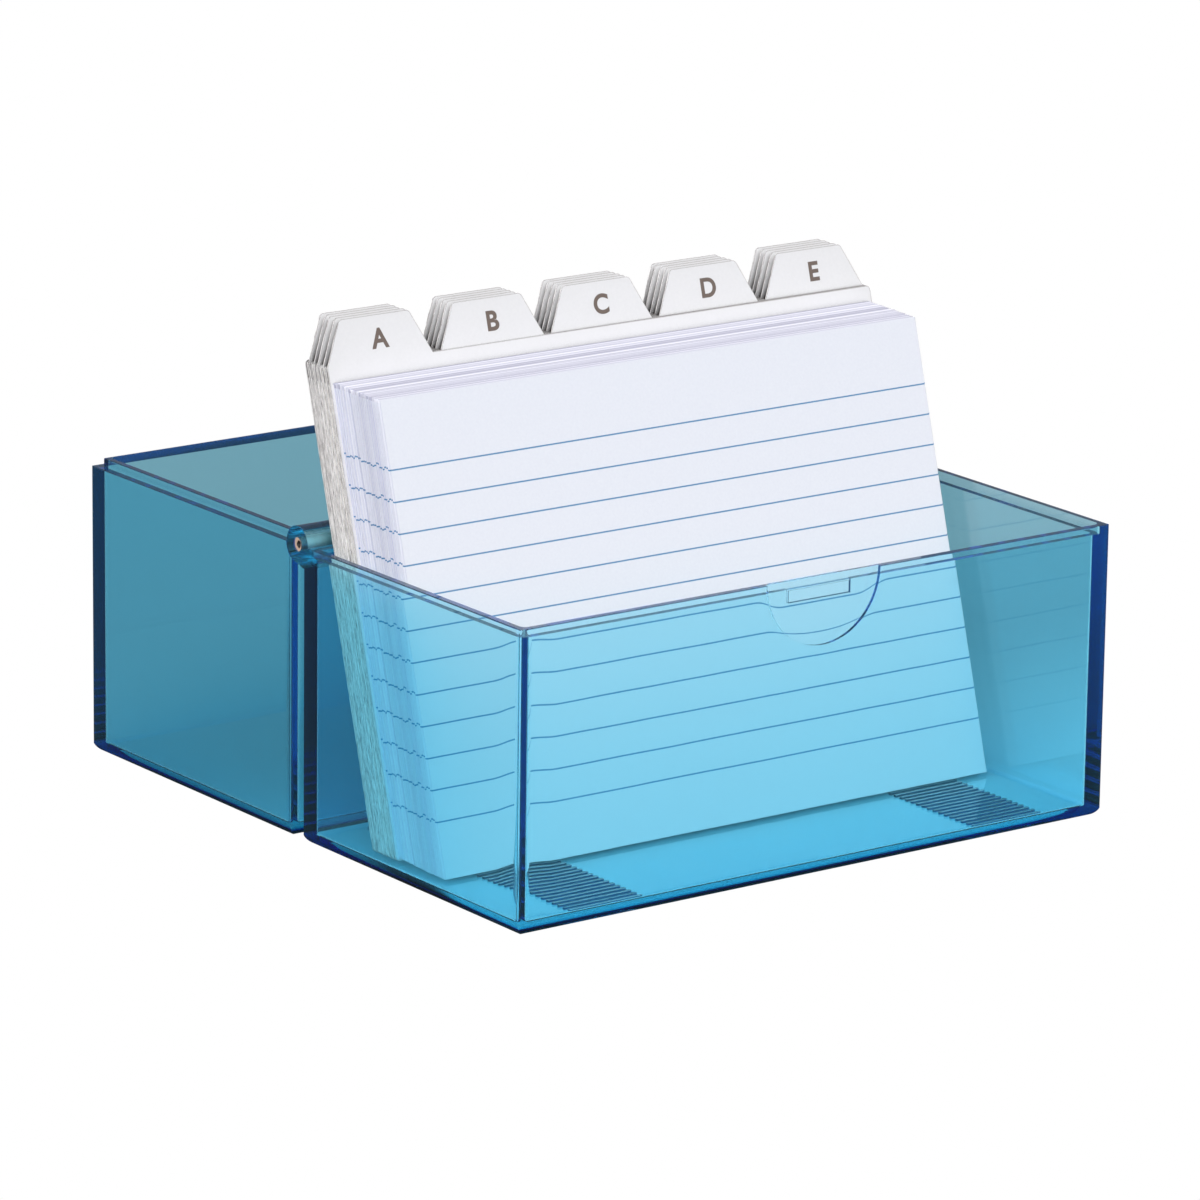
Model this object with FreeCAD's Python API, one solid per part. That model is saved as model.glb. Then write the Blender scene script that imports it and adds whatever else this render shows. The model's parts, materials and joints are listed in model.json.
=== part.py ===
import FreeCAD, Part
import math
import os
from FreeCAD import Vector

# A hinged file box for ruled index cards, moulded as two equal open halves: a tray that holds
# the cards and a lid that swings over it. The lid is modelled laid right back, open side up.
# X runs along the hinge, -Y is the tray's front and +Z is up. The origin is on the standing
# surface, under the hinge axis and midway along it. All sizes are in millimetres.

# Cards and dividers
card_width = 148.0
card_height = 105.0
card_thickness = 0.15
divider_thickness = 0.33
divider_overhang = 1.25         # how far a divider stands out past a card, each side
divider_rise = 4.0              # how far a divider's straight edge stands above a card
tab_height = 10.0
tab_foot_width = 28.0
tab_top_width = 18.4
tab_corner_radius = 1.2
last_tab_inset = 1.0            # from the last tab's foot to the divider's right edge
divider_corner_radius = 0.95
tab_columns = 5
divider_rows = 5
card_bundles = 9                # behind the one loose front card
cards_per_bundle = 11
sheet_air = 0.016               # air between one sheet and the next
pack_lean = 16.0                # degrees back from upright
pack_shift = 0.25               # the pack stands this far to the right of the box's middle
card_jog = 0.45                 # sideways scatter of a hand-filled pack
card_lift = 0.20                # upward scatter, above the ribs
bundle_lift = 0.45              # how much higher the last bundle stands than the first

# The two moulded halves
wall = 3.2
floor_thickness = 2.5
half_depth = 82.5
side_room = 2.3                 # from a divider to each end wall, with the pack in the middle
head_room = 11.9                # above the tabs when the box is shut
hinge_gap = 4.6                 # between the facing walls when the box is open
rim_gap = 0.1                   # between the two rims when the box is shut
bottom_edge_radius = 3.0
upright_edge_radius = 0.6
rim_edge_radius = 0.25
inside_radius = 0.8

# Rim: a step inside the tray's lip, and the lid's raised tongue that drops into it
lip_thickness = 1.6
step_depth = 2.1
tongue_clearance = 0.15
tongue_corner_radius = 1.4
far_lead_in = 0.95              # how far the far tongue slopes in, to swing in past the lip

# Ribs that keep the cards' feet from sliding on the tray's floor
rib_length = 19.6
rib_width = 1.0
rib_height = 0.5
rib_pitch = 2.0
rib_end_roundness = 0.98        # share of a rib's width that its rounded ends take up
rib_end_inset = 12.1            # from the end wall's inside
rib_front_inset = 1.2           # from the front wall's inside to the first rib's middle
seat_clearance = 0.1            # under the cards' feet and behind the pack

# Catch at the middle of the front
thumb_recess_radius = 15.5
thumb_recess_depth = 0.8
slot_width = 17.0
slot_height = 2.8
slot_drop = 2.5                 # from the rim to the slot's top
slot_depth = 1.0                # a blind slot, sunk in the wall's inside
channel_side_room = 0.25        # channel past the slot, each side
channel_depth = 0.4
catch_side_clearance = 0.5
catch_thickness = 1.2
catch_clearance = 0.3           # above and below the nose in the slot
catch_face_clearance = 0.2      # from the catch to the channel, and from its nose to the slot

# Hinge: a barrel at each end of the tray, a barrel of the lid inboard of it, one pin in both
barrel_radius = 4.2
tray_barrel_length = 11.5
lid_barrel_length = 8.0
barrel_end_gap = 0.2
swing_clearance = 0.2           # from a barrel to the other half's wall
web_drop = 0.8                  # how far a barrel's web runs down past the barrel
pin_radius = 1.6
pin_running_clearance = 0.08
pin_recess = 0.4
pin_dimple_radius = 0.8
pin_dimple_depth = 0.5
pin_reach_in_lid = 6.5
bore_end_room = 0.5

# Worked out from the sizes above
divider_width = card_width + 2 * divider_overhang
divider_height = card_height + divider_rise
box_length = divider_width + 2 * (side_room + wall)
hinge_height = (divider_height + tab_height + rib_height + head_room) / 2 + floor_thickness
rim_height = hinge_height - rim_gap / 2
near_face = hinge_gap / 2
near_inside = near_face + wall
far_face = near_face + half_depth
far_inside = far_face - wall
end_face = box_length / 2
end_inside = end_face - wall
tray_barrel_inner_end = end_face - tray_barrel_length
lid_barrel_outer_end = tray_barrel_inner_end - barrel_end_gap
lid_barrel_inner_end = lid_barrel_outer_end - lid_barrel_length

lean = math.radians(pack_lean)
seat_height = floor_thickness + rib_height + seat_clearance
card_spacing = (card_thickness + sheet_air) / math.cos(lean)
divider_spacing = (divider_thickness + sheet_air) / math.cos(lean)
card_count = 1 + card_bundles * cards_per_bundle
divider_count = tab_columns * divider_rows
pack_back = -near_inside - seat_clearance - (rim_height - seat_height) * math.tan(lean)
first_divider = pack_back - divider_count * divider_spacing
first_card = first_divider - card_count * card_spacing

clear_of_all = 2 * barrel_radius    # how far a cutting tool runs out past the surface it opens


def edges_along(block, axis, at_height=None):
    """The straight edges of a block that run along one axis, all or only those at one height."""
    chosen = []
    for edge in block.Edges:
        if abs(edge.tangentAt(edge.FirstParameter).dot(axis)) < 0.999:
            continue
        if at_height is None or abs(edge.CenterOfMass.z - at_height) < 0.001:
            chosen.append(edge)
    return chosen


def rounded_block(low, high, upright_radius, bottom_radius, top_radius=0.0):
    """A block from corner to corner with one radius on its uprights and one on each rim."""
    size = high - low
    result = None
    for axis in (Vector(1, 0, 0), Vector(0, 1, 0)):
        bar = Part.makeBox(size.x, size.y, size.z, low)
        if bottom_radius > 0:
            bar = bar.makeFillet(bottom_radius, edges_along(bar, axis, low.z))
        if top_radius > 0:
            bar = bar.makeFillet(top_radius, edges_along(bar, axis, high.z))
        result = bar if result is None else result.common(bar)
    column = Part.makeBox(size.x, size.y, size.z, low)
    column = column.makeFillet(upright_radius, edges_along(column, Vector(0, 0, 1)))
    return result.common(column)


def bar_along_x(outline, start, length):
    """A bar along X whose section is a list of (y, z) points."""
    points = [Vector(start, y, z) for y, z in outline]
    face = Part.Face(Part.makePolygon(points + points[:1]))
    return face.extrude(Vector(length, 0, 0))


def barrel(radius, start, length):
    """A cylinder on the hinge axis."""
    return Part.makeCylinder(radius, length, Vector(start, 0, hinge_height), Vector(1, 0, 0))


def both_ends(shape):
    """A shape at the right-hand end and its mirror image at the left."""
    return [shape, shape.mirror(Vector(0, 0, 0), Vector(1, 0, 0))]


def open_half(front, back):
    """One half of the box between two Y positions, before its rim and hinge are made."""
    outside = rounded_block(
        Vector(-end_face, front, 0), Vector(end_face, back, rim_height),
        upright_edge_radius, bottom_edge_radius, rim_edge_radius)
    inside = rounded_block(
        Vector(-end_inside, front + wall, floor_thickness),
        Vector(end_inside, back - wall, rim_height + clear_of_all),
        inside_radius, inside_radius)
    return outside.cut(inside)


def barrel_and_web(side, start, length):
    """A hinge barrel with the web that ties it to its wall; side is -1 for the tray's wall."""
    root = side * (near_face + wall / 4)
    web = bar_along_x([
        (root, hinge_height),
        (0, hinge_height),
        (0, hinge_height - barrel_radius),
        (side * near_face, hinge_height - barrel_radius - web_drop),
        (root, hinge_height - barrel_radius - web_drop),
    ], start, length)
    return barrel(barrel_radius, start, length).fuse(web)


def make_ribs():
    """Two groups of low ribs across the tray's floor, one near each end."""
    usable = half_depth - 2 * wall - 2 * rib_front_inset
    rib_count = int(usable / rib_pitch) + 1
    half_width = rib_width / 2
    outer_end = end_inside - rib_end_inset
    ribs = []
    for number in range(rib_count):
        middle = -far_inside + rib_front_inset + number * rib_pitch
        rib = rounded_block(
            Vector(outer_end - rib_length, middle - half_width, floor_thickness / 2),
            Vector(outer_end, middle + half_width, floor_thickness + rib_height),
            half_width * rib_end_roundness, 0)
        ribs += both_ends(rib)
    return ribs


def make_tray():
    tray = open_half(-far_face, -near_face)
    tray = tray.fuse(make_ribs())
    step = rounded_block(
        Vector(-end_face + lip_thickness, -far_face + lip_thickness, rim_height - step_depth),
        Vector(end_face - lip_thickness, 0, rim_height + clear_of_all),
        tongue_corner_radius + tongue_clearance, 0)
    step_back = -near_inside + tongue_clearance
    hinge_side = Part.makeBox(
        box_length, -step_back, step_depth + clear_of_all,
        Vector(-end_face, step_back, rim_height - step_depth))
    step = step.cut(hinge_side)
    thumb_recess = Part.makeCylinder(
        thumb_recess_radius, thumb_recess_depth + clear_of_all,
        Vector(0, -far_face - clear_of_all, rim_height), Vector(0, 1, 0))
    slot_bottom = rim_height - slot_drop - slot_height
    slot = Part.makeBox(
        slot_width, slot_depth + clear_of_all, slot_height,
        Vector(-slot_width / 2, -far_inside - slot_depth, slot_bottom))
    channel_width = slot_width + 2 * channel_side_room
    channel = Part.makeBox(
        channel_width, channel_depth + clear_of_all, slot_drop + slot_height + clear_of_all,
        Vector(-channel_width / 2, -far_inside - channel_depth, slot_bottom))
    tray = tray.cut([step, thumb_recess, slot, channel])

    room_for_lid_barrel = barrel(
        barrel_radius + swing_clearance, lid_barrel_inner_end - barrel_end_gap,
        lid_barrel_length + 2 * barrel_end_gap)
    tray = tray.cut(both_ends(room_for_lid_barrel))
    tray = tray.fuse(both_ends(barrel_and_web(-1, tray_barrel_inner_end, tray_barrel_length)))
    pin_hole = barrel(pin_radius, tray_barrel_inner_end, tray_barrel_length)
    return tray.cut(both_ends(pin_hole)).removeSplitter()


def make_catch():
    """The springy catch at the middle of the lid's far rim, with its outward nose."""
    width = slot_width - 2 * catch_side_clearance
    reach = rim_gap / 2 + slot_drop + slot_height - catch_clearance
    nose_start = rim_gap / 2 + slot_drop + catch_clearance
    back = far_inside + channel_depth - catch_face_clearance
    front = back - catch_thickness
    nose_tip = far_inside + slot_depth - catch_face_clearance
    return bar_along_x([
        (front, rim_height - wall),
        (back, rim_height - wall),
        (back, hinge_height + nose_start),
        (nose_tip, hinge_height + nose_start),
        (nose_tip, hinge_height + (nose_start + reach) / 2),
        (back - catch_thickness / 2, hinge_height + reach),
        (front, hinge_height + reach),
    ], -width / 2, width)


def make_lid():
    lid = open_half(near_face, far_face)
    tongue_inset = lip_thickness + tongue_clearance
    tongue_top = hinge_height + rim_gap / 2 + step_depth - tongue_clearance
    tongue_back = far_face - tongue_inset
    tongue = rounded_block(
        Vector(-end_face + tongue_inset, near_face, rim_height - wall / 4),
        Vector(end_face - tongue_inset, tongue_back, tongue_top),
        tongue_corner_radius, 0, rim_edge_radius)
    lead_in = bar_along_x([
        (tongue_back, rim_height),
        (tongue_back + clear_of_all, rim_height),
        (tongue_back + clear_of_all, tongue_top),
        (tongue_back - far_lead_in, tongue_top),
    ], -end_face, box_length)
    inside = rounded_block(
        Vector(-end_inside, near_inside, floor_thickness + wall),
        Vector(end_inside, far_inside, tongue_top + clear_of_all),
        inside_radius, 0)
    hinge_side = Part.makeBox(
        box_length, wall, clear_of_all + step_depth,
        Vector(-end_face, near_face, rim_height))
    lid = lid.fuse([tongue.cut([inside, hinge_side, lead_in]), make_catch()])

    room_for_tray_barrel = barrel(
        barrel_radius + swing_clearance, lid_barrel_outer_end,
        tray_barrel_length + barrel_end_gap + clear_of_all)
    lid = lid.cut(both_ends(room_for_tray_barrel))
    lid = lid.fuse(both_ends(barrel_and_web(1, lid_barrel_inner_end, lid_barrel_length)))
    bore_depth = pin_reach_in_lid + bore_end_room
    pin_bore = barrel(
        pin_radius + pin_running_clearance, lid_barrel_outer_end - bore_depth,
        bore_depth)
    return lid.cut(both_ends(pin_bore)).removeSplitter()


def make_pin():
    """The right-hand pin: pressed in the tray's barrel, turning in the lid's."""
    inner_end = lid_barrel_outer_end - pin_reach_in_lid
    outer_end = end_face - pin_recess
    pin = barrel(pin_radius, inner_end, outer_end - inner_end)
    dimple = Part.makeCone(
        0, pin_dimple_radius, pin_dimple_depth,
        Vector(outer_end - pin_dimple_depth, 0, hinge_height), Vector(1, 0, 0))
    return pin.cut(dimple)


def lean_back(sheet, y, thickness, lift, sideways):
    """Lean a sheet drawn upright on the origin, its rear foot on the ribs, its front one at y."""
    sheet.translate(Vector(pack_shift + sideways, 0, lift))
    sheet.rotate(Vector(0, 0, 0), Vector(1, 0, 0), -pack_lean)
    sheet.translate(Vector(0, y, seat_height + thickness * math.sin(lean)))
    return sheet


def scatter(number):
    """A repeatable uneven value from -1 to 1 for the sheet of this number."""
    return math.sin(2.4 * number) * math.cos(0.7 * number)


def make_card(number, bundle=0):
    """One card of a bundle; number 0 is the front one, which belongs to none."""
    card = Part.makeBox(
        card_width, card_thickness, card_height, Vector(-card_width / 2, 0, 0))
    lift = (card_lift * (1 + scatter(number + 0.5)) / 2
            + bundle_lift * bundle / max(card_bundles - 1, 1))
    return lean_back(
        card, first_card + number * card_spacing, card_thickness, lift,
        card_jog * scatter(number))


def make_divider(number):
    """One board divider with its tab in the column that its number gives."""
    left = -divider_width / 2
    column_pitch = (divider_width - tab_foot_width - last_tab_inset) / (tab_columns - 1)
    foot = left + (number % tab_columns) * column_pitch
    slope = (tab_foot_width - tab_top_width) / 2
    top = divider_height + tab_height
    board = Part.makeBox(divider_width, divider_thickness, divider_height, Vector(left, 0, 0))
    bare_corners = [
        edge for edge in edges_along(board, Vector(0, 1, 0))
        if edge.CenterOfMass.z < tab_height or abs(edge.CenterOfMass.x - foot) > tab_corner_radius]
    board = board.makeFillet(divider_corner_radius, bare_corners)
    corners = [
        Vector(foot, 0, divider_height), Vector(foot + slope, 0, top),
        Vector(foot + slope + tab_top_width, 0, top),
        Vector(foot + tab_foot_width, 0, divider_height),
    ]
    tab = Part.Face(Part.makePolygon(corners + corners[:1]))
    tab = tab.extrude(Vector(0, divider_thickness, 0))
    tab = tab.makeFillet(tab_corner_radius, edges_along(tab, Vector(0, 1, 0), top))
    divider = board.fuse(tab).removeSplitter()
    return lean_back(
        divider, first_divider + number * divider_spacing, divider_thickness, 0,
        card_jog * scatter(number) / 2)


def divider_name(number):
    """Letters a to x, and the last divider takes what is left of the alphabet."""
    if number == divider_count - 1:
        return "index_divider_yz"
    return "index_divider_" + chr(ord("a") + number)


def write(name, shape):
    shape.exportStep("parts/" + name + ".step")


os.makedirs("parts", exist_ok=True)

write("tray", make_tray())
write("lid", make_lid())
right_pin, left_pin = both_ends(make_pin())
write("right_hinge_pin", right_pin)
write("left_hinge_pin", left_pin)

write("front_card", make_card(0))
for bundle in range(card_bundles):
    first = 1 + bundle * cards_per_bundle
    cards = [make_card(first + place, bundle) for place in range(cards_per_bundle)]
    write("card_bundle_" + str(bundle + 1), Part.makeCompound(cards))

for number in range(divider_count):
    write(divider_name(number), make_divider(number))

print("box length %.2f, hinge height %.2f, front card's foot at y %.3f" % (
    box_length, hinge_height, first_card))
print("pack's back foot at y %.3f, seat height %.3f" % (pack_back, seat_height))
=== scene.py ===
import json
import math

import bpy
from mathutils import Matrix, Vector

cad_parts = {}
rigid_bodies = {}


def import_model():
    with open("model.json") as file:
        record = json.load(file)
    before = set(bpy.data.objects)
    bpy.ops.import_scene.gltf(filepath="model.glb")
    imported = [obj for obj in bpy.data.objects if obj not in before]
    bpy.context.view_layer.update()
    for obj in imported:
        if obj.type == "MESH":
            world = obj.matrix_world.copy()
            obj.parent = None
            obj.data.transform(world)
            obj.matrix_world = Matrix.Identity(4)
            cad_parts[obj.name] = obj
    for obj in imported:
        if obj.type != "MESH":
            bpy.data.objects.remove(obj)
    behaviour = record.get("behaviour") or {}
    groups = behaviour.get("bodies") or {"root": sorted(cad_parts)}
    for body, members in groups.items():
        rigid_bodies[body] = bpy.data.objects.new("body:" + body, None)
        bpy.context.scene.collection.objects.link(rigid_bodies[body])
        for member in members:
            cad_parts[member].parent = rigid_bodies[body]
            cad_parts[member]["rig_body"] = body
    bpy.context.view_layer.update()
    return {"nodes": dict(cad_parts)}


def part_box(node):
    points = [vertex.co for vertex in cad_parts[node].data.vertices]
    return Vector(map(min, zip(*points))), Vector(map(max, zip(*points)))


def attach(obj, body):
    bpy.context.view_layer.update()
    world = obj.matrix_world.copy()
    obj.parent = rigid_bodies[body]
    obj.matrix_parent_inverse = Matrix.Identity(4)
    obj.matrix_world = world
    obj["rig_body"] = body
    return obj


# A hinged index card box: two clear blue moulded halves joined by two short steel pins, a pack
# of ruled cards leaning in the front half, and tabbed board dividers behind the cards.
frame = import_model()


# Studio: a pale paper sweep in an evenly lit room, with a big soft box high up in front and a
# broad, weaker one low on the left. The sweep is burnt out to the lens. To the plastic it is white
# under the tray and falls off to a mid grey behind, a painted shade; to the gloss it is painted a
# dark tone, a painted reflection.
sweep_half_width = 6.0
sweep_to_lens = "#ffffff"
sweep_in_front = "#d8dcde"
# painted shade: the grey that the sweep falls off to behind the box
sweep_painted_shade_behind = "#a5a9ab"
painted_shade_start = -0.06
painted_shade_end = 0.07
# painted reflection: a dark tone that the gloss sees in place of the sweep
sweep_painted_dark_in_gloss = "#2e3134"
room_colour = "#8b8f94"
lights = [
    # towards the light, half angles of its bright core and faded edge in degrees, strength
    ((-0.30, -0.66, 0.69), 14, 46, 2.80),
    ((-0.93, -0.25, 0.28), 20, 60, 1.75),
]


def linear(hex_colour):
    """An sRGB hex colour as linear red, green, blue and alpha."""
    values = []
    for start in (1, 3, 5):
        share = int(hex_colour[start:start + 2], 16) / 255
        if share > 0.04045:
            values.append(((share + 0.055) / 1.055) ** 2.4)
        else:
            values.append(share / 12.92)
    return (*values, 1.0)


def add_node(tree, kind, settings=None, *inputs, **named_inputs):
    """A shader node; an input is a value, a hex colour, another node, or a node's output."""
    node = tree.nodes.new("ShaderNode" + kind)
    for name, value in (settings or {}).items():
        setattr(node, name, value)
    links = list(zip([socket for socket in node.inputs if socket.enabled], inputs))
    for name, value in named_inputs.items():
        links.append((node.inputs[name.replace("_", " ")], value))
    for socket, value in links:
        if isinstance(value, str):
            value = linear(value)
        if isinstance(value, bpy.types.Node):
            value = next(output for output in value.outputs if output.enabled)
        if isinstance(value, bpy.types.NodeSocket):
            tree.links.new(value, socket)
        else:
            socket.default_value = value
    return node


def new_tree(owner):
    """An owner's node tree, emptied."""
    owner.use_nodes = True
    owner.node_tree.nodes.clear()
    return owner.node_tree


world = bpy.data.worlds.new("soft_studio_light")
bpy.context.scene.world = world
tree = new_tree(world)
direction = add_node(tree, "TexCoord")
all_light = add_node(tree, "Background", Color=room_colour)
for way, core, faded, strength in lights:
    nearness = add_node(
        tree, "VectorMath", {"operation": "DOT_PRODUCT"}, direction.outputs["Generated"],
        Vector(way).normalized())
    share = add_node(
        tree, "MapRange", {"interpolation_type": "SMOOTHSTEP"}, Value=nearness.outputs["Value"],
        From_Min=math.cos(math.radians(faded)), From_Max=math.cos(math.radians(core)),
        To_Max=strength)
    soft_box = add_node(tree, "Background", Color="#ffffff", Strength=share.outputs["Result"])
    all_light = add_node(
        tree, "AddShader", None, all_light.outputs[0], soft_box.outputs["Background"])
add_node(tree, "OutputWorld", Surface=all_light.outputs[0])

sweep_mesh = bpy.data.meshes.new("studio_sweep")
edge = sweep_half_width
sweep_mesh.from_pydata(
    [(-edge, -edge, 0), (edge, -edge, 0), (edge, edge, 0), (-edge, edge, 0)], [], [(0, 1, 2, 3)])
sweep = bpy.data.objects.new("studio_sweep", sweep_mesh)
bpy.context.scene.collection.objects.link(sweep)
paper_roll = bpy.data.materials.new("matt_white_paper_roll")
tree = new_tree(paper_roll)
seen_by = add_node(tree, "LightPath")
to_lens = add_node(tree, "Emission", Color=sweep_to_lens)
where = add_node(tree, "TexCoord")
parts = add_node(tree, "SeparateXYZ", None, where.outputs["Object"])
# painted shade: the sweep's colour darkens from the front to the back
painted_shade_fade = add_node(
    tree, "MapRange", {"interpolation_type": "SMOOTHSTEP"}, Value=parts.outputs["Y"],
    From_Min=painted_shade_start, From_Max=painted_shade_end)
paper_with_painted_shade = add_node(
    tree, "Mix", {"data_type": "RGBA"}, painted_shade_fade.outputs["Result"], sweep_in_front, sweep_painted_shade_behind)
to_object = add_node(tree, "BsdfDiffuse", Color=paper_with_painted_shade)
# painted reflection: reflection rays see the sweep in a dark tone
painted_dark_in_gloss = add_node(tree, "BsdfDiffuse", Color=sweep_painted_dark_in_gloss)
to_object = add_node(
    tree, "MixShader", None, seen_by.outputs["Is Reflection Ray"], to_object.outputs["BSDF"],
    painted_dark_in_gloss.outputs["BSDF"])
both = add_node(
    tree, "MixShader", None, seen_by.outputs["Is Camera Ray"], to_object.outputs["Shader"],
    to_lens.outputs["Emission"])
add_node(tree, "OutputMaterial", Surface=both.outputs["Shader"])
sweep_mesh.materials.append(paper_roll)


# Camera: a long lens, looking down on the box's near left corner. Light is followed past far more
# surfaces than usual, because it is mirrored many times inside a clear wall that is seen edge on.
lens_length = 214.0
camera_place = Vector((-0.92472, -1.26014, 0.46892))
camera_turn = math.radians(-36.331)
camera_tilt = math.radians(15.228)
camera_roll = math.radians(0.775)
surfaces_followed = 24
camera_data = bpy.data.cameras.new("long_lens")
camera_data.lens = lens_length
camera = bpy.data.objects.new("long_lens", camera_data)
camera.matrix_world = (
    Matrix.Translation(camera_place)
    @ Matrix.Rotation(camera_turn, 4, "Z")
    @ Matrix.Rotation(math.pi / 2 - camera_tilt, 4, "X")
    @ Matrix.Rotation(camera_roll, 4, "Z"))
bpy.context.scene.collection.objects.link(camera)
bpy.context.scene.camera = camera
bpy.context.scene.view_settings.view_transform = "Standard"
for limit in ("max_bounces", "glossy_bounces", "transmission_bounces"):
    setattr(bpy.context.scene.cycles, limit, surfaces_followed)


# Tray and lid: each one clear blue crystal polystyrene moulding, from a polished steel mould.
# The dye is all through the plastic, so a wall seen edge on is far deeper in colour. The rib
# flanks and the slot's sides were spark-eroded in the mould, so they are dull; they are also
# tinted dark navy, a painted shade.
wall_thickness = 0.0032
light_through_wall = (0.42, 0.84, 0.99)     # red, green and blue shares that one wall passes
dye_for_lamps = (0.66, 0.92, 0.978)         # what its dye passes; the rest is lost at its faces
refractive_index = 1.5
polished_roughness = 0.02
dull_roughness_gain = 0.3
# painted shade: the dark navy given to the dull faces
painted_dark_tint = "#123f78"
ripple_length = 0.022
ripple_height = 0.001
ripple_strength = 0.06
haze_share = 0.014              # how much light the plastic scatters instead of passing
deepest_reflection = 18
front_wall_block = ((-0.09, -0.09, 0.004), (0.09, -0.07, 0.07))
dull_and_painted_dark_sides = [
    # low corner, high corner and the way that the dull, painted dark faces don't face
    ((-0.0657, -0.08095, 0.00252), (-0.0456, -0.0057, 0.00299), (0, 0, 1)),
    ((0.0456, -0.08095, 0.00252), (0.0657, -0.0057, 0.00299), (0, 0, 1)),
    ((-0.0088, -0.08265, 0.0628), (0.0088, -0.08162, 0.0657), (0, 1, 0)),
]
sunk_walls = [
    # the middle line of a patch of wall, its core and outer radius, and its tilt up or down
    ((0, -0.0832, 0.06815), (1, 0, 1), 0.0120, 0.0182, -0.030),
    ((-0.0800, -0.0840, 0), (1, 1, 0), 0.0030, 0.0095, 0.010),
]


def in_block(tree, place, low, high):
    """1 inside a block between two corners, at rest, and 0 outside it."""
    middle = (Vector(low) + Vector(high)) / 2
    half_size = (Vector(high) - Vector(low)) / 2
    offset = add_node(
        tree, "VectorMath", {"operation": "SUBTRACT"}, place.outputs["Object"], middle)
    offset = add_node(tree, "VectorMath", {"operation": "ABSOLUTE"}, offset)
    offset = add_node(tree, "VectorMath", {"operation": "DIVIDE"}, offset, half_size)
    parts = add_node(tree, "SeparateXYZ", None, offset)
    widest = add_node(
        tree, "Math", {"operation": "MAXIMUM"}, parts.outputs["X"], parts.outputs["Y"])
    return add_node(
        tree, "Math", {"operation": "LESS_THAN"},
        add_node(tree, "Math", {"operation": "MAXIMUM"}, widest, parts.outputs["Z"]), 1.0)


def facing(tree, place, towards):
    """How squarely the surface faces one way, from -1 to 1, at rest."""
    return add_node(
        tree, "VectorMath", {"operation": "DOT_PRODUCT"}, place.outputs["Normal"], towards)


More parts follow.
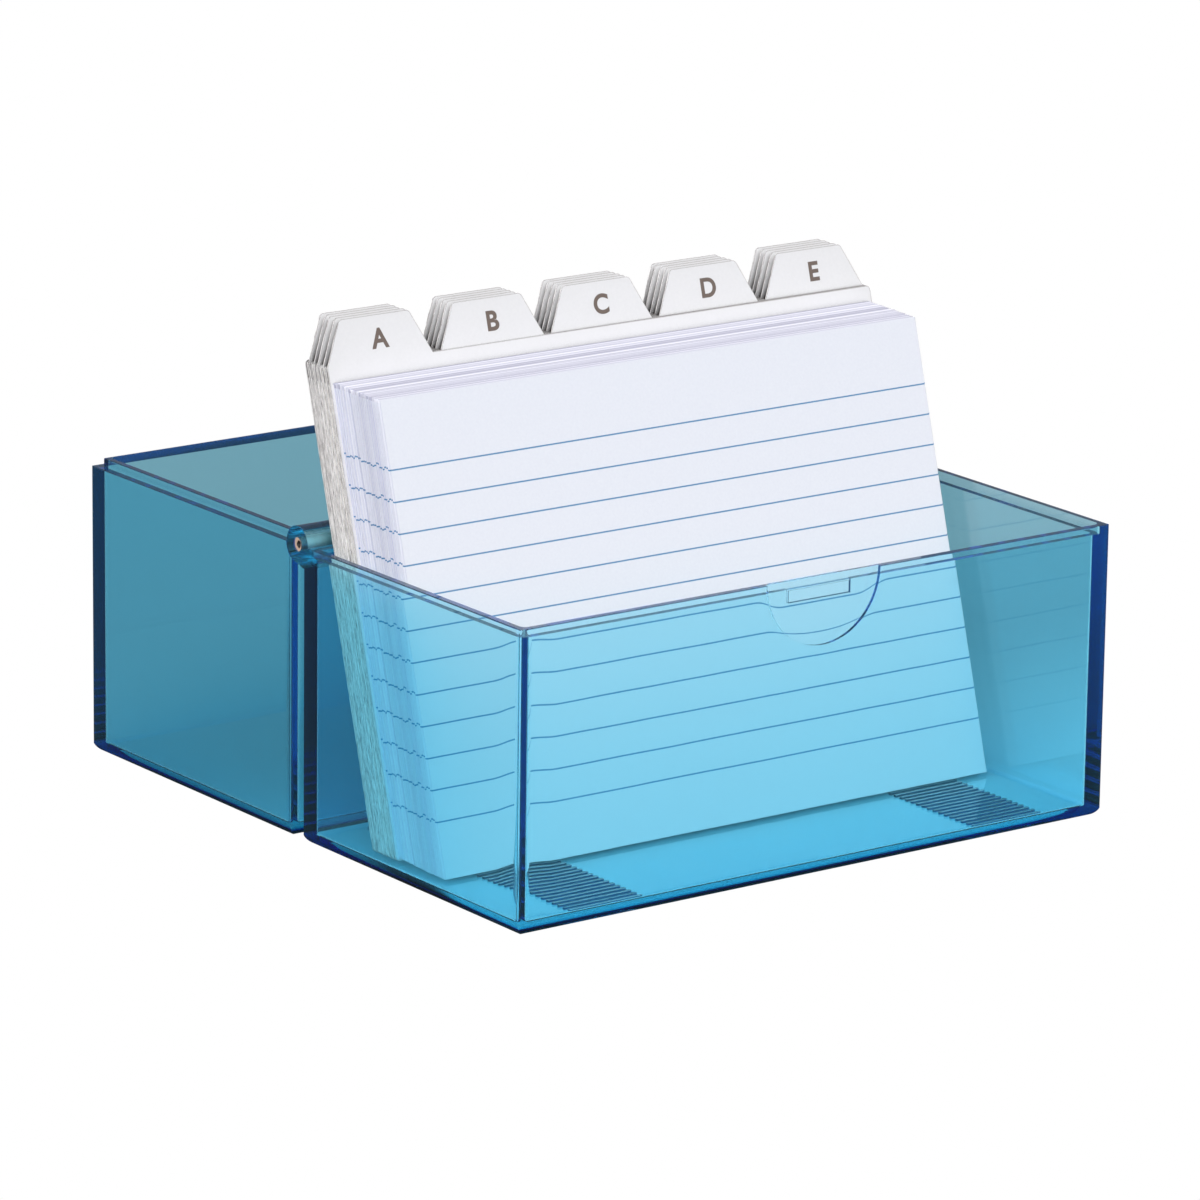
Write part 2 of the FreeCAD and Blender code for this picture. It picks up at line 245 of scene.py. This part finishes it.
def clear_polystyrene():
    material = bpy.data.materials.new("clear_blue_crystal_polystyrene")
    tree = new_tree(material)
    place = add_node(tree, "TexCoord")
    ripple = add_node(
        tree, "TexNoise", Vector=place.outputs["Object"], Scale=1 / ripple_length, Detail=1.0)
    surface = add_node(
        tree, "Bump", Height=ripple.outputs["Fac"], Strength=ripple_strength,
        Distance=ripple_height)

    # the wall sinks a little round the thumb recess and beside the near corner, which bends
    # what is seen through it; its two faces lean opposite ways, as a wedge's do
    normal = surface.outputs["Normal"]
    from_behind = add_node(tree, "NewGeometry").outputs["Backfacing"]
    side = add_node(
        tree, "Math", {"operation": "SUBTRACT"}, 1.0,
        add_node(tree, "Math", {"operation": "MULTIPLY"}, from_behind, 2.0))
    front_wall = in_block(tree, place, *front_wall_block)
    for middle, across, core, outer, tilt in sunk_walls:
        offset = add_node(
            tree, "VectorMath", {"operation": "SUBTRACT"}, place.outputs["Object"], middle)
        distance = add_node(
            tree, "VectorMath", {"operation": "LENGTH"},
            add_node(tree, "VectorMath", {"operation": "MULTIPLY"}, offset, across))
        share = add_node(
            tree, "MapRange", {"interpolation_type": "SMOOTHSTEP"}, Value=distance, From_Min=outer,
            From_Max=core)
        share = add_node(
            tree, "Math", {"operation": "MULTIPLY"}, share.outputs["Result"], front_wall)
        share = add_node(tree, "Math", {"operation": "MULTIPLY"}, share, side)
        lean = add_node(
            tree, "CombineXYZ", Z=add_node(tree, "Math", {"operation": "MULTIPLY"}, share, tilt))
        normal = add_node(tree, "VectorMath", {"operation": "ADD"}, normal, lean.outputs["Vector"])
    normal = add_node(tree, "VectorMath", {"operation": "NORMALIZE"}, normal)

    dull_and_painted_dark = 0.0
    for low, high, not_facing in dull_and_painted_dark_sides:
        slant = add_node(tree, "Math", {"operation": "ABSOLUTE"}, facing(tree, place, not_facing))
        sideways = add_node(tree, "Math", {"operation": "LESS_THAN"}, slant, 0.5)
        dull_and_painted_dark = add_node(
            tree, "Math", {"operation": "ADD"}, dull_and_painted_dark,
            add_node(
                tree, "Math", {"operation": "MULTIPLY"}, sideways,
                in_block(tree, place, low, high)))
    face_tint = [min(seen / lamps, 1.0)
                 for seen, lamps in zip(light_through_wall, dye_for_lamps)]
    # the dull faces are tinted dark navy, a painted shade
    tint = add_node(tree, "Mix", {"data_type": "RGBA"}, dull_and_painted_dark, (*face_tint, 1.0), painted_dark_tint)
    roughness = add_node(
        tree, "Math", {"operation": "ADD"},
        add_node(tree, "Math", {"operation": "MULTIPLY"}, dull_and_painted_dark, dull_roughness_gain),
        polished_roughness)
    shader = add_node(
        tree, "BsdfPrincipled", Base_Color=tint, Transmission_Weight=1 - haze_share,
        IOR=refractive_index, Roughness=roughness, Normal=normal)

    # light that has been mirrored many times inside a wall is let out, as a lamp's light is let
    # in, to stand in for the countless further reflections that carry it out of a real edge
    lamp_side = add_node(tree, "BsdfTransparent", Color="#ffffff")
    ray = add_node(tree, "LightPath")
    to_lamp = add_node(
        tree, "Math", {"operation": "MAXIMUM"}, ray.outputs["Is Shadow Ray"],
        ray.outputs["Is Diffuse Ray"])
    long_path = add_node(
        tree, "Math", {"operation": "GREATER_THAN"}, ray.outputs["Ray Depth"],
        deepest_reflection + 0.5)
    to_lamp = add_node(tree, "Math", {"operation": "MAXIMUM"}, to_lamp, long_path)
    both = add_node(
        tree, "MixShader", None, to_lamp, shader.outputs["BSDF"], lamp_side.outputs["BSDF"])
    loss = [-math.log(share) / wall_thickness for share in dye_for_lamps]
    strongest = max(loss)
    dye = add_node(
        tree, "VolumeAbsorption", Color=(*[1 - one / strongest for one in loss], 1.0),
        Density=strongest)
    add_node(tree, "OutputMaterial", Surface=both.outputs["Shader"], Volume=dye.outputs["Volume"])
    return material


def finish_nodes(names, material):
    """Gives CAD nodes their finish."""
    for name in names:
        mesh = frame["nodes"][name].data
        mesh.materials.clear()
        mesh.materials.append(material)


finish_nodes(["tray", "lid"], clear_polystyrene())


# Hinge pins: short lengths of drawn mild steel wire, pressed in from each end. The cut ends have
# gone brown, and the dimple that the punch left in each is coloured near black.
drawing_line_pitch = 0.00012
drawing_line_height = 0.00002
drawing_line_strength = 0.2
drawing_line_squeeze = 0.05     # along the wire, so that the lines run on along it
stain_size = 0.0011
dimple_radius = 0.00085
dimple_raggedness = 0.0007
wire_roughness = 0.45
hinge_axis_height = sum(corner.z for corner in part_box("left_hinge_pin")) / 2


def drawn_steel():
    material = bpy.data.materials.new("drawn_mild_steel_wire")
    tree = new_tree(material)
    place = add_node(tree, "TexCoord")
    stretch = add_node(
        tree, "Mapping", Vector=place.outputs["Object"], Scale=(drawing_line_squeeze, 1, 1))
    lines = add_node(
        tree, "TexNoise", Vector=stretch.outputs["Vector"], Scale=1 / drawing_line_pitch,
        Detail=2.0)
    stain = add_node(
        tree, "TexNoise", Vector=place.outputs["Object"], Scale=1 / stain_size, Detail=3.0)
    wire = add_node(tree, "Mix", {"data_type": "RGBA"}, stain.outputs["Fac"], "#c9c2ba", "#eeebe7")
    from_axis = add_node(
        tree, "VectorMath", {"operation": "SUBTRACT"}, place.outputs["Object"],
        (0, 0, hinge_axis_height))
    from_axis = add_node(tree, "VectorMath", {"operation": "MULTIPLY"}, from_axis, (0, 1, 1))
    from_axis = add_node(tree, "VectorMath", {"operation": "LENGTH"}, from_axis)
    ragged = add_node(
        tree, "Math", {"operation": "ADD"}, from_axis,
        add_node(tree, "Math", {"operation": "MULTIPLY"}, stain.outputs["Fac"], dimple_raggedness))
    in_dimple = add_node(
        tree, "Math", {"operation": "LESS_THAN"}, ragged, dimple_radius + dimple_raggedness / 2)
    endways = add_node(tree, "Math", {"operation": "ABSOLUTE"}, facing(tree, place, (1, 0, 0)))
    is_end = add_node(tree, "Math", {"operation": "GREATER_THAN"}, endways, 0.5)
    # the cut end is brown, and the dimple's hollow is coloured near black
    cut_end = add_node(tree, "Mix", {"data_type": "RGBA"}, in_dimple, "#c7a995", "#1c130e")
    colour = add_node(tree, "Mix", {"data_type": "RGBA"}, is_end, wire, cut_end)
    metal = add_node(tree, "Math", {"operation": "SUBTRACT"}, 1.0, is_end)
    surface = add_node(
        tree, "Bump", Height=lines.outputs["Fac"], Strength=drawing_line_strength,
        Distance=drawing_line_height)
    shader = add_node(
        tree, "BsdfPrincipled", Base_Color=colour, Metallic=metal, Roughness=wire_roughness,
        Normal=surface.outputs["Normal"])
    add_node(tree, "OutputMaterial", Surface=shader.outputs["BSDF"])
    return material


finish_nodes(["left_hinge_pin", "right_hinge_pin"], drawn_steel())


# Ruled cards: a hundred smooth bluish-white cards, cut through their printed blue rules, so that
# each rule runs on round the pack's cut sides as a thin broken line.
pack_lean = math.radians(16.0)
card_height = 0.105
card_step = 0.000166            # a card and the air behind it
cards_per_batch = 6
card_slip = 0.0003              # how far one card's printing is off the next one's, at most
batch_slip = 0.0009
band_depth = 0.0011             # of the lighter and darker bands through the pack
paper_fibre = 0.0006
paper_tooth = 0.00003
paper_tooth_strength = 0.15
paper_index = 1.45
paper_roughness = 0.62
rule_pitch = 0.007
top_rule_drop = 0.0153
rule_count = 12
rule_width = 0.00034
shaded_top = 0.0007
top_card_share = 0.45           # how much each card, and each band, lightens the pack's top
top_band_share = 0.75
top_contrast = (0.35, 0.8)
side_card_share = 0.75          # and the pack's sides
side_band_share = 0.4
card_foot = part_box("front_card")[0].z
# the front card's face, less a hair, so that the face counts as the first card's
front_card_depth = (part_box("front_card")[0].y * math.cos(pack_lean)
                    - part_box("front_card")[0].z * math.sin(pack_lean) - card_step / 10)


def sheet_places(tree):
    """Height up a leaning sheet from its foot, and depth through the pack square to the sheets."""
    place = add_node(tree, "TexCoord")
    parts = add_node(tree, "SeparateXYZ", None, place.outputs["Object"])
    above_foot = add_node(tree, "Math", {"operation": "SUBTRACT"}, parts.outputs["Z"], card_foot)
    up = add_node(tree, "Math", {"operation": "DIVIDE"}, above_foot, math.cos(pack_lean))
    depth = add_node(
        tree, "Math", {"operation": "SUBTRACT"},
        add_node(tree, "Math", {"operation": "MULTIPLY"}, parts.outputs["Y"], math.cos(pack_lean)),
        add_node(tree, "Math", {"operation": "MULTIPLY"}, parts.outputs["Z"], math.sin(pack_lean)))
    return place, up, depth


def ruled_card():
    material = bpy.data.materials.new("smooth_ruled_card")
    tree = new_tree(material)
    place, up, depth = sheet_places(tree)
    behind_front = add_node(tree, "Math", {"operation": "SUBTRACT"}, depth, front_card_depth)
    which_card = add_node(
        tree, "Math", {"operation": "FLOOR"},
        add_node(tree, "Math", {"operation": "DIVIDE"}, behind_front, card_step))
    card_noise = add_node(
        tree, "TexWhiteNoise", {"noise_dimensions": "1D"}, W=which_card).outputs["Value"]
    which_batch = add_node(
        tree, "Math", {"operation": "FLOOR"},
        add_node(tree, "Math", {"operation": "DIVIDE"}, which_card, cards_per_batch))
    batch_noise = add_node(
        tree, "TexWhiteNoise", {"noise_dimensions": "1D"}, W=which_batch).outputs["Value"]
    group_noise = add_node(
        tree, "TexNoise", {"noise_dimensions": "1D"}, W=depth, Scale=1 / band_depth,
        Detail=1.0).outputs["Fac"]

    # the rules, with each card's printing a little higher or lower than the next
    slip = add_node(
        tree, "Math", {"operation": "ADD"},
        add_node(
            tree, "Math", {"operation": "MULTIPLY"},
            add_node(tree, "Math", {"operation": "SUBTRACT"}, card_noise, 0.5), card_slip),
        add_node(
            tree, "Math", {"operation": "MULTIPLY"},
            add_node(tree, "Math", {"operation": "SUBTRACT"}, batch_noise, 0.5), batch_slip))
    printed_up = add_node(tree, "Math", {"operation": "ADD"}, up, slip)
    below_top_rule = add_node(
        tree, "Math", {"operation": "SUBTRACT"}, card_height - top_rule_drop, printed_up)
    rule_number = add_node(
        tree, "Math", {"operation": "ROUND"},
        add_node(tree, "Math", {"operation": "DIVIDE"}, below_top_rule, rule_pitch))
    off_rule = add_node(
        tree, "Math", {"operation": "ABSOLUTE"},
        add_node(
            tree, "Math", {"operation": "SUBTRACT"}, below_top_rule,
            add_node(tree, "Math", {"operation": "MULTIPLY"}, rule_number, rule_pitch)))
    on_rule = add_node(tree, "Math", {"operation": "LESS_THAN"}, off_rule, rule_width / 2)
    on_sheet = add_node(
        tree, "Math", {"operation": "MULTIPLY"},
        add_node(tree, "Math", {"operation": "GREATER_THAN"}, rule_number, -0.5),
        add_node(tree, "Math", {"operation": "LESS_THAN"}, rule_number, rule_count - 0.5))
    front = facing(tree, place, (0, -math.cos(pack_lean), math.sin(pack_lean)))
    upwards = facing(tree, place, (0, math.sin(pack_lean), math.cos(pack_lean)))
    not_back = add_node(tree, "Math", {"operation": "GREATER_THAN"}, front, -0.5)
    is_face = add_node(tree, "Math", {"operation": "GREATER_THAN"}, front, 0.5)
    near_top = add_node(tree, "Math", {"operation": "GREATER_THAN"}, up, card_height - shaded_top)
    inside_pack = add_node(tree, "Math", {"operation": "GREATER_THAN"}, which_card, 0.5)
    near_top = add_node(
        tree, "Math", {"operation": "MULTIPLY"}, near_top,
        add_node(tree, "Math", {"operation": "MULTIPLY"}, inside_pack, is_face))
    is_top = add_node(
        tree, "Math", {"operation": "MAXIMUM"},
        add_node(tree, "Math", {"operation": "GREATER_THAN"}, upwards, 0.5), near_top)
    ruled = add_node(
        tree, "Math", {"operation": "MULTIPLY"},
        add_node(tree, "Math", {"operation": "MULTIPLY"}, on_rule, on_sheet), not_back)

    fibres = add_node(
        tree, "TexNoise", Vector=place.outputs["Object"], Scale=1 / paper_fibre, Detail=4.0)
    face = add_node(tree, "Mix", {"data_type": "RGBA"}, fibres.outputs["Fac"], "#dbdde6", "#e3e5ec")
    edge_shade = add_node(
        tree, "Math", {"operation": "ADD"},
        add_node(tree, "Math", {"operation": "MULTIPLY"}, card_noise, top_card_share),
        add_node(tree, "Math", {"operation": "MULTIPLY"}, group_noise, top_band_share))
    side_shade = add_node(
        tree, "Math", {"operation": "ADD"},
        add_node(tree, "Math", {"operation": "MULTIPLY"}, card_noise, side_card_share),
        add_node(tree, "Math", {"operation": "MULTIPLY"}, group_noise, side_band_share))
    side_edge = add_node(tree, "Mix", {"data_type": "RGBA"}, side_shade, "#b0b2d6", "#f4f4fb")
    # painted shadow: the card behind the front one gets a darker side edge, a shadow line
    painted_shade_behind_front_card = add_node(tree, "Math", {"operation": "COMPARE"}, which_card, 1.0)
    side_edge = add_node(
        tree, "Mix", {"data_type": "RGBA"}, painted_shade_behind_front_card, side_edge, "#8f90b2")
    banded = add_node(
        tree, "MapRange", Value=edge_shade, From_Min=top_contrast[0], From_Max=top_contrast[1])
    top_edge = add_node(
        tree, "Mix", {"data_type": "RGBA"}, banded.outputs["Result"], "#a5a4b4", "#e9e8ee")
    paper = add_node(tree, "Mix", {"data_type": "RGBA"}, is_face, side_edge, face)
    paper = add_node(tree, "Mix", {"data_type": "RGBA"}, is_top, paper, top_edge)
    ink = add_node(tree, "Mix", {"data_type": "RGBA"}, is_face, "#477fb2", "#5d8bb3")
    colour = add_node(tree, "Mix", {"data_type": "RGBA"}, ruled, paper, ink)
    surface = add_node(
        tree, "Bump", Height=fibres.outputs["Fac"], Strength=paper_tooth_strength,
        Distance=paper_tooth)
    shader = add_node(
        tree, "BsdfPrincipled", Base_Color=colour, Roughness=paper_roughness, IOR=paper_index,
        Normal=surface.outputs["Normal"])
    add_node(tree, "OutputMaterial", Surface=shader.outputs["BSDF"])
    return material


card_nodes = [name for name in frame["nodes"] if "card" in name]
finish_nodes(card_nodes, ruled_card())


# Dividers: white-lined greyboard, die cut with a tab each and stacked in five rows of five. The
# cut edge shows the brown-grey middle between the white linings.
divider_step = 0.000346         # a divider and the air behind it
divider_height = 0.109
tab_height = 0.010
lining_share = 0.3              # of a step, from the front: the lining, the core, then the air
core_end_share = 0.92
lining_edge = "#e8e7ea"
# painted shade: the air between the boards is given this dark colour
painted_gap_shade = "#4a403a"
painted_edge_shade_width = 0.00035
painted_edge_shade_flatness = (0.995, 0.92)   # of the rounded edge, where the painted edge shade starts and where it is full
painted_edge_shade_strength = 0.7
crevice_shade_reach = 0.004
crevice_shade_openness = (0.75, 0.25)    # how open a spot is where the painted shade starts and where it is full
tear_depth = 0.00025
tear_length = 0.0034
tear_roughness = 0.7
tear_contrast = (0.36, 0.56)
blotch_size = 0.018
blotch_strength = 0.35
board_fibre = 0.0007
board_tooth = 0.00004
board_tooth_strength = 0.2
board_roughness = 0.7


def lined_greyboard():
    material = bpy.data.materials.new("white_lined_greyboard")
    tree = new_tree(material)
    place, up, depth = sheet_places(tree)
    fibres = add_node(
        tree, "TexNoise", Vector=place.outputs["Object"], Scale=1 / board_fibre, Detail=4.0)
    blotches = add_node(
        tree, "TexNoise", Vector=place.outputs["Object"], Scale=1 / blotch_size, Detail=2.0)
    front = facing(tree, place, (0, -math.cos(pack_lean), math.sin(pack_lean)))
    upwards = facing(tree, place, (0, math.sin(pack_lean), math.cos(pack_lean)))
    lining = add_node(
        tree, "Mix", {"data_type": "RGBA"}, fibres.outputs["Fac"], "#d8d7d8", "#e0dfe0")
    lining = add_node(
        tree, "Mix", {"data_type": "RGBA"},
        add_node(tree, "Math", {"operation": "MULTIPLY"}, blotches.outputs["Fac"], blotch_strength),
        lining, "#d4d3d4")
    bare_back = add_node(
        tree, "Mix", {"data_type": "RGBA"}, fibres.outputs["Fac"], "#a2978e", "#bcb2aa")

    front_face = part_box("index_divider_a")
    front_depth = (front_face[0].y * math.cos(pack_lean)
                   - front_face[0].z * math.sin(pack_lean))
    through = add_node(
        tree, "Math", {"operation": "FRACT"},
        add_node(
            tree, "Math", {"operation": "DIVIDE"},
            add_node(tree, "Math", {"operation": "SUBTRACT"}, depth, front_depth), divider_step))
    streak_place = add_node(
        tree, "CombineXYZ", X=add_node(tree, "Math", {"operation": "DIVIDE"}, depth, tear_depth),
        Y=add_node(tree, "Math", {"operation": "DIVIDE"}, up, tear_length))
    streaks = add_node(
        tree, "TexNoise", Vector=streak_place.outputs["Vector"], Scale=1.0, Detail=3.0,
        Roughness=tear_roughness)
    torn = add_node(
        tree, "MapRange", Value=streaks.outputs["Fac"], From_Min=tear_contrast[0],
        From_Max=tear_contrast[1])
    core = add_node(
        tree, "Mix", {"data_type": "RGBA"}, torn.outputs["Result"], "#4d3d35", "#f3efeb")
    is_core = add_node(tree, "Math", {"operation": "GREATER_THAN"}, through, lining_share)
    is_gap = add_node(tree, "Math", {"operation": "GREATER_THAN"}, through, core_end_share)
    cut_edge = add_node(tree, "Mix", {"data_type": "RGBA"}, is_core, lining_edge, core)
    # the air between boards is coloured dark, a painted shade
    cut_edge = add_node(tree, "Mix", {"data_type": "RGBA"}, is_gap, cut_edge, painted_gap_shade)
    is_top = add_node(tree, "Math", {"operation": "GREATER_THAN"}, upwards, 0.5)
    top_lines = add_node(tree, "Mix", {"data_type": "RGBA"}, is_core, lining_edge, "#c9c6c4")
    top_lines = add_node(tree, "Mix", {"data_type": "RGBA"}, is_gap, top_lines, painted_gap_shade)
    cut_edge = add_node(tree, "Mix", {"data_type": "RGBA"}, is_top, cut_edge, top_lines)
    is_back = add_node(tree, "Math", {"operation": "LESS_THAN"}, front, -0.5)
    is_front = add_node(tree, "Math", {"operation": "GREATER_THAN"}, front, 0.5)
    colour = add_node(tree, "Mix", {"data_type": "RGBA"}, is_back, cut_edge, bare_back)
    colour = add_node(tree, "Mix", {"data_type": "RGBA"}, is_front, colour, lining)

    # painted shade: a grey line along the edges of each front, and dark shade down between the tabs
    rounded = add_node(tree, "Bevel", {"samples": 4}, Radius=painted_edge_shade_width)
    true_normal = add_node(tree, "NewGeometry").outputs["Normal"]
    flatness = add_node(
        tree, "VectorMath", {"operation": "DOT_PRODUCT"}, rounded.outputs["Normal"], true_normal)
    near_edge = add_node(
        tree, "MapRange", Value=flatness, From_Min=painted_edge_shade_flatness[0], From_Max=painted_edge_shade_flatness[1],
        To_Max=painted_edge_shade_strength)
    # painted shade: a grey line along the edges of each front face
    colour = add_node(
        tree, "Mix", {"data_type": "RGBA"},
        add_node(tree, "Math", {"operation": "MULTIPLY"}, near_edge.outputs["Result"], is_front),
        colour, "#6d6058")
    # painted shade: ambient occlusion darkens the crevices between the tabs
    crevice = add_node(tree, "AmbientOcclusion", {"samples": 4}, Distance=crevice_shade_reach)
    shade = add_node(
        tree, "MapRange", Value=crevice.outputs["AO"], From_Min=crevice_shade_openness[0],
        From_Max=crevice_shade_openness[1])
    tab_foot = add_node(
        tree, "MapRange", Value=up, From_Min=divider_height + tab_height, From_Max=divider_height)
    above_cards = add_node(tree, "Math", {"operation": "GREATER_THAN"}, up, card_height)
    low_down = add_node(
        tree, "Math", {"operation": "MULTIPLY"}, tab_foot.outputs["Result"], above_cards)
    colour = add_node(
        tree, "Mix", {"data_type": "RGBA"},
        add_node(tree, "Math", {"operation": "MULTIPLY"}, shade.outputs["Result"], low_down),
        colour, "#1f1916")
    surface = add_node(
        tree, "Bump", Height=fibres.outputs["Fac"], Strength=board_tooth_strength,
        Distance=board_tooth)
    shader = add_node(
        tree, "BsdfPrincipled", Base_Color=colour, Roughness=board_roughness, IOR=paper_index,
        Normal=surface.outputs["Normal"])
    add_node(tree, "OutputMaterial", Surface=shader.outputs["BSDF"])
    return material


divider_nodes = [name for name in frame["nodes"] if name.startswith("index_divider_")]
finish_nodes(divider_nodes, lined_greyboard())


# Index letters: printed on each tab in a warm dark grey, bold and plain.
letter_height = 0.0044
letter_drop = 0.0055            # from the tab's top edge to the letter's middle
letter_shift = 0.0006
ink_mottle = 0.00025
ink_roughness = 0.5
ink_thickness = 0.00001
font_capital_share = 0.72
stroke_swell = 0.00018


def printing_ink():
    material = bpy.data.materials.new("warm_grey_printing_ink")
    tree = new_tree(material)
    place = add_node(tree, "TexCoord")
    cover = add_node(
        tree, "TexNoise", Vector=place.outputs["Object"], Scale=1 / ink_mottle, Detail=2.0)
    colour = add_node(
        tree, "Mix", {"data_type": "RGBA"}, cover.outputs["Fac"], "#5d5049", "#7a6c64")
    shader = add_node(tree, "BsdfPrincipled", Base_Color=colour, Roughness=ink_roughness)
    add_node(tree, "OutputMaterial", Surface=shader.outputs["BSDF"])
    return material


ink = printing_ink()
up_tab = Vector((0, math.sin(pack_lean), math.cos(pack_lean)))
out_of_tab = Vector((0, -math.cos(pack_lean), math.sin(pack_lean)))
for name in sorted(divider_nodes):
    node = frame["nodes"][name]
    label = name.removeprefix("index_divider_")
    highest = max(vertex.co.z for vertex in node.data.vertices)
    top_edge = [vertex.co for vertex in node.data.vertices
                if vertex.co.z > highest - ink_thickness]
    middle = sum(top_edge, Vector()) / len(top_edge)
    text = bpy.data.curves.new("letter_" + label, "FONT")
    text.body = label.upper()
    text.size = letter_height / font_capital_share
    text.align_x = "CENTER"
    text.align_y = "CENTER"
    text.offset = stroke_swell
    text.extrude = ink_thickness
    letter = bpy.data.objects.new("letter_" + label, text)
    bpy.context.scene.collection.objects.link(letter)
    letter.location = (middle - letter_drop * up_tab + 2 * ink_thickness * out_of_tab
                       + Vector((letter_shift, 0, 0)))
    letter.rotation_euler = (math.pi / 2 - pack_lean, 0, 0)
    text.materials.append(ink)
    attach(letter, node["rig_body"])
